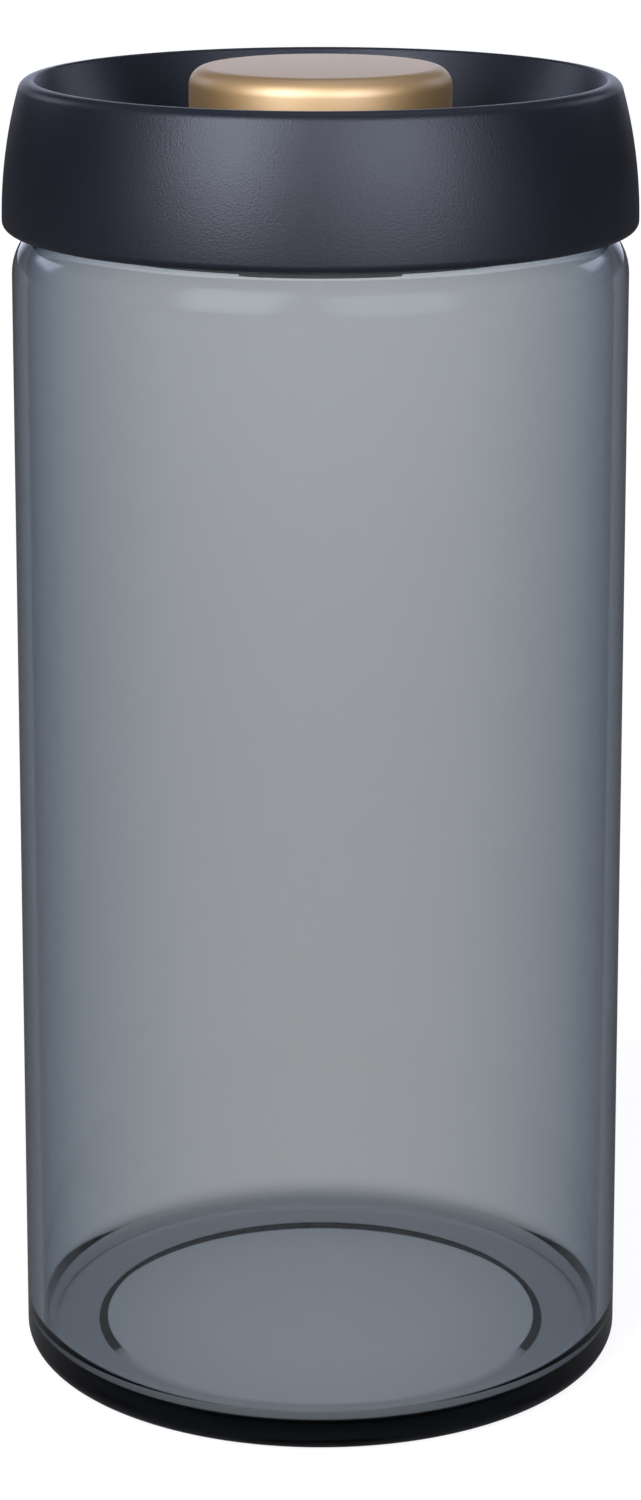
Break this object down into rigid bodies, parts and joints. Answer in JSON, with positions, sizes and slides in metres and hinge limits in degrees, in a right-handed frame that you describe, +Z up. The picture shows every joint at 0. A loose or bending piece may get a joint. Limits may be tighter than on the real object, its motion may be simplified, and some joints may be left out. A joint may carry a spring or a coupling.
{
  "type": "vacuum seal canister",
  "caption": "Tall smoked-glass storage jar with a black moulded lid; pressing the round metal button in the lid pumps air out, and a small valve lets it back in.",
  "frame": {"origin": "centre of the round base, on the surface the canister stands on", "axes": "+Z up along the jar's axis, front towards -Y, the release button at the back towards +Y"},
  "size_m": [0.103, 0.103, 0.2162],
  "materials": {
    "smoked_glass": "clear smoked grey, polished",
    "black_plastic": "satin black moulded ABS",
    "housing_plastic": "black moulded polypropylene",
    "natural_plastic": "milky natural polypropylene",
    "collar_plastic": "satin black moulded ABS",
    "pump_plastic": "dark grey acetal",
    "gold_aluminium": "satin champagne-gold anodising",
    "silicone": "matte dark grey silicone",
    "steel": "stainless steel"
  },
  "bodies": {
    "jar": {"glass_jar": "smoked_glass"},
    "lid": {"lid_cap": "black_plastic", "pump_housing": "housing_plastic", "housing_screws": "steel", "jar_seal": "silicone", "dish_o_ring": "silicone", "button_collar": "collar_plastic", "intake_valve": "silicone", "filter_screen": "steel", "filter_cover": "natural_plastic", "return_spring": "steel", "release_spring": "steel"},
    "button": {"button_cap": "gold_aluminium", "plunger": "pump_plastic", "piston_seal": "silicone", "exhaust_valve": "silicone", "bumper_ring": "silicone"},
    "release": {"release_button": "black_plastic", "release_stem": "steel", "release_seal": "silicone"}
  },
  "joints": [
    {"name": "lid_lift", "type": "slide", "parent": "jar", "child": "lid", "axis": [0, 0, 1], "range_m": [0, 0.12]},
    {"name": "button_press", "type": "slide", "parent": "lid", "child": "button", "axis": [0, 0, -1], "range_m": [0, 0.0075], "stiffness_N_per_m": 350, "springref_m": -0.006, "deforming": ["return_spring"]},
    {"name": "release_press", "type": "slide", "parent": "lid", "child": "release", "axis": [0, 0, -1], "range_m": [0, 0.0015], "stiffness_N_per_m": 700, "springref_m": -0.002, "deforming": ["release_spring"]}
  ]
}
